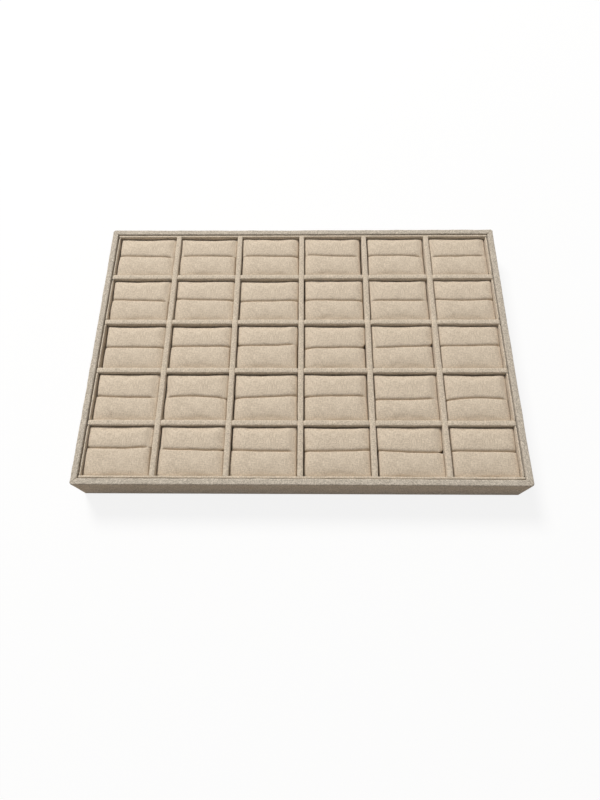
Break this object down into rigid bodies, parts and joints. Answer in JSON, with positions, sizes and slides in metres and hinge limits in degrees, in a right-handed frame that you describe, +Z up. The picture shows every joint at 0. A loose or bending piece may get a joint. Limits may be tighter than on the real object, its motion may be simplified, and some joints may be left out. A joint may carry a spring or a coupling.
{
  "type": "jewelry tray",
  "caption": "Flat linen-covered ring display tray with a lift-out grid of dividers and a slit foam ring pad in each compartment.",
  "frame": {"origin": "middle of the tray's underside", "axes": "+X along the long side to the right, +Y from front to back, +Z up; each pad's slit runs along X"},
  "size_m": [0.35, 0.24, 0.03],
  "materials": {
    "wall_linen": "cool grey-beige linen over the walls",
    "grid_linen": "cool grey-beige linen over the dividers and liners",
    "pad_linen": "warm cream linen with small dark flecks, over foam",
    "lining": "thin plain lining",
    "wall_board": "raw fibreboard",
    "grid_board": "raw grey board"
  },
  "bodies": {
    "tray": {"base_board": "wall_board", "underside_lining": "lining", "floor_lining": "lining", "front_wall_board": "wall_board", "back_wall_board": "wall_board", "left_wall_board": "wall_board", "right_wall_board": "wall_board", "front_wall_linen": "wall_linen", "back_wall_linen": "wall_linen", "left_wall_linen": "wall_linen", "right_wall_linen": "wall_linen"},
    "divider_grid": {"front_liner": "grid_board", "back_liner": "grid_board", "left_liner": "grid_board", "right_liner": "grid_board", "long_divider_1": "grid_board", "long_divider_2": "grid_board", "long_divider_3": "grid_board", "long_divider_4": "grid_board", "long_divider_5": "grid_board", "cross_divider_1": "grid_board", "cross_divider_2": "grid_board", "cross_divider_3": "grid_board", "cross_divider_4": "grid_board", "liner_linens": "grid_linen", "long_divider_linens": "grid_linen", "cross_divider_linens": "grid_linen"},
    "pad_r1_c1": {"ring_pad_r1_c1": "pad_linen"},
    "pad_r1_c2": {"ring_pad_r1_c2": "pad_linen"},
    "pad_r1_c3": {"ring_pad_r1_c3": "pad_linen"},
    "pad_r1_c4": {"ring_pad_r1_c4": "pad_linen"},
    "pad_r1_c5": {"ring_pad_r1_c5": "pad_linen"},
    "pad_r1_c6": {"ring_pad_r1_c6": "pad_linen"},
    "pad_r2_c1": {"ring_pad_r2_c1": "pad_linen"},
    "pad_r2_c2": {"ring_pad_r2_c2": "pad_linen"},
    "pad_r2_c3": {"ring_pad_r2_c3": "pad_linen"},
    "pad_r2_c4": {"ring_pad_r2_c4": "pad_linen"},
    "pad_r2_c5": {"ring_pad_r2_c5": "pad_linen"},
    "pad_r2_c6": {"ring_pad_r2_c6": "pad_linen"},
    "pad_r3_c1": {"ring_pad_r3_c1": "pad_linen"},
    "pad_r3_c2": {"ring_pad_r3_c2": "pad_linen"},
    "pad_r3_c3": {"ring_pad_r3_c3": "pad_linen"},
    "pad_r3_c4": {"ring_pad_r3_c4": "pad_linen"},
    "pad_r3_c5": {"ring_pad_r3_c5": "pad_linen"},
    "pad_r3_c6": {"ring_pad_r3_c6": "pad_linen"},
    "pad_r4_c1": {"ring_pad_r4_c1": "pad_linen"},
    "pad_r4_c2": {"ring_pad_r4_c2": "pad_linen"},
    "pad_r4_c3": {"ring_pad_r4_c3": "pad_linen"},
    "pad_r4_c4": {"ring_pad_r4_c4": "pad_linen"},
    "pad_r4_c5": {"ring_pad_r4_c5": "pad_linen"},
    "pad_r4_c6": {"ring_pad_r4_c6": "pad_linen"},
    "pad_r5_c1": {"ring_pad_r5_c1": "pad_linen"},
    "pad_r5_c2": {"ring_pad_r5_c2": "pad_linen"},
    "pad_r5_c3": {"ring_pad_r5_c3": "pad_linen"},
    "pad_r5_c4": {"ring_pad_r5_c4": "pad_linen"},
    "pad_r5_c5": {"ring_pad_r5_c5": "pad_linen"},
    "pad_r5_c6": {"ring_pad_r5_c6": "pad_linen"}
  },
  "joints": [
    {"name": "divider_grid_lift", "type": "slide", "parent": "tray", "child": "divider_grid", "axis": [0, 0, 1], "range_m": [0, 0.035]},
    {"name": "pad_r1_c1_lift", "type": "slide", "parent": "tray", "child": "pad_r1_c1", "axis": [0, 0, 1], "range_m": [0, 0.03]},
    {"name": "pad_r1_c2_lift", "type": "slide", "parent": "tray", "child": "pad_r1_c2", "axis": [0, 0, 1], "range_m": [0, 0.03]},
    {"name": "pad_r1_c3_lift", "type": "slide", "parent": "tray", "child": "pad_r1_c3", "axis": [0, 0, 1], "range_m": [0, 0.03]},
    {"name": "pad_r1_c4_lift", "type": "slide", "parent": "tray", "child": "pad_r1_c4", "axis": [0, 0, 1], "range_m": [0, 0.03]},
    {"name": "pad_r1_c5_lift", "type": "slide", "parent": "tray", "child": "pad_r1_c5", "axis": [0, 0, 1], "range_m": [0, 0.03]},
    {"name": "pad_r1_c6_lift", "type": "slide", "parent": "tray", "child": "pad_r1_c6", "axis": [0, 0, 1], "range_m": [0, 0.03]},
    {"name": "pad_r2_c1_lift", "type": "slide", "parent": "tray", "child": "pad_r2_c1", "axis": [0, 0, 1], "range_m": [0, 0.03]},
    {"name": "pad_r2_c2_lift", "type": "slide", "parent": "tray", "child": "pad_r2_c2", "axis": [0, 0, 1], "range_m": [0, 0.03]},
    {"name": "pad_r2_c3_lift", "type": "slide", "parent": "tray", "child": "pad_r2_c3", "axis": [0, 0, 1], "range_m": [0, 0.03]},
    {"name": "pad_r2_c4_lift", "type": "slide", "parent": "tray", "child": "pad_r2_c4", "axis": [0, 0, 1], "range_m": [0, 0.03]},
    {"name": "pad_r2_c5_lift", "type": "slide", "parent": "tray", "child": "pad_r2_c5", "axis": [0, 0, 1], "range_m": [0, 0.03]},
    {"name": "pad_r2_c6_lift", "type": "slide", "parent": "tray", "child": "pad_r2_c6", "axis": [0, 0, 1], "range_m": [0, 0.03]},
    {"name": "pad_r3_c1_lift", "type": "slide", "parent": "tray", "child": "pad_r3_c1", "axis": [0, 0, 1], "range_m": [0, 0.03]},
    {"name": "pad_r3_c2_lift", "type": "slide", "parent": "tray", "child": "pad_r3_c2", "axis": [0, 0, 1], "range_m": [0, 0.03]},
    {"name": "pad_r3_c3_lift", "type": "slide", "parent": "tray", "child": "pad_r3_c3", "axis": [0, 0, 1], "range_m": [0, 0.03]},
    {"name": "pad_r3_c4_lift", "type": "slide", "parent": "tray", "child": "pad_r3_c4", "axis": [0, 0, 1], "range_m": [0, 0.03]},
    {"name": "pad_r3_c5_lift", "type": "slide", "parent": "tray", "child": "pad_r3_c5", "axis": [0, 0, 1], "range_m": [0, 0.03]},
    {"name": "pad_r3_c6_lift", "type": "slide", "parent": "tray", "child": "pad_r3_c6", "axis": [0, 0, 1], "range_m": [0, 0.03]},
    {"name": "pad_r4_c1_lift", "type": "slide", "parent": "tray", "child": "pad_r4_c1", "axis": [0, 0, 1], "range_m": [0, 0.03]},
    {"name": "pad_r4_c2_lift", "type": "slide", "parent": "tray", "child": "pad_r4_c2", "axis": [0, 0, 1], "range_m": [0, 0.03]},
    {"name": "pad_r4_c3_lift", "type": "slide", "parent": "tray", "child": "pad_r4_c3", "axis": [0, 0, 1], "range_m": [0, 0.03]},
    {"name": "pad_r4_c4_lift", "type": "slide", "parent": "tray", "child": "pad_r4_c4", "axis": [0, 0, 1], "range_m": [0, 0.03]},
    {"name": "pad_r4_c5_lift", "type": "slide", "parent": "tray", "child": "pad_r4_c5", "axis": [0, 0, 1], "range_m": [0, 0.03]},
    {"name": "pad_r4_c6_lift", "type": "slide", "parent": "tray", "child": "pad_r4_c6", "axis": [0, 0, 1], "range_m": [0, 0.03]},
    {"name": "pad_r5_c1_lift", "type": "slide", "parent": "tray", "child": "pad_r5_c1", "axis": [0, 0, 1], "range_m": [0, 0.03]},
    {"name": "pad_r5_c2_lift", "type": "slide", "parent": "tray", "child": "pad_r5_c2", "axis": [0, 0, 1], "range_m": [0, 0.03]},
    {"name": "pad_r5_c3_lift", "type": "slide", "parent": "tray", "child": "pad_r5_c3", "axis": [0, 0, 1], "range_m": [0, 0.03]},
    {"name": "pad_r5_c4_lift", "type": "slide", "parent": "tray", "child": "pad_r5_c4", "axis": [0, 0, 1], "range_m": [0, 0.03]},
    {"name": "pad_r5_c5_lift", "type": "slide", "parent": "tray", "child": "pad_r5_c5", "axis": [0, 0, 1], "range_m": [0, 0.03]},
    {"name": "pad_r5_c6_lift", "type": "slide", "parent": "tray", "child": "pad_r5_c6", "axis": [0, 0, 1], "range_m": [0, 0.03]}
  ]
}
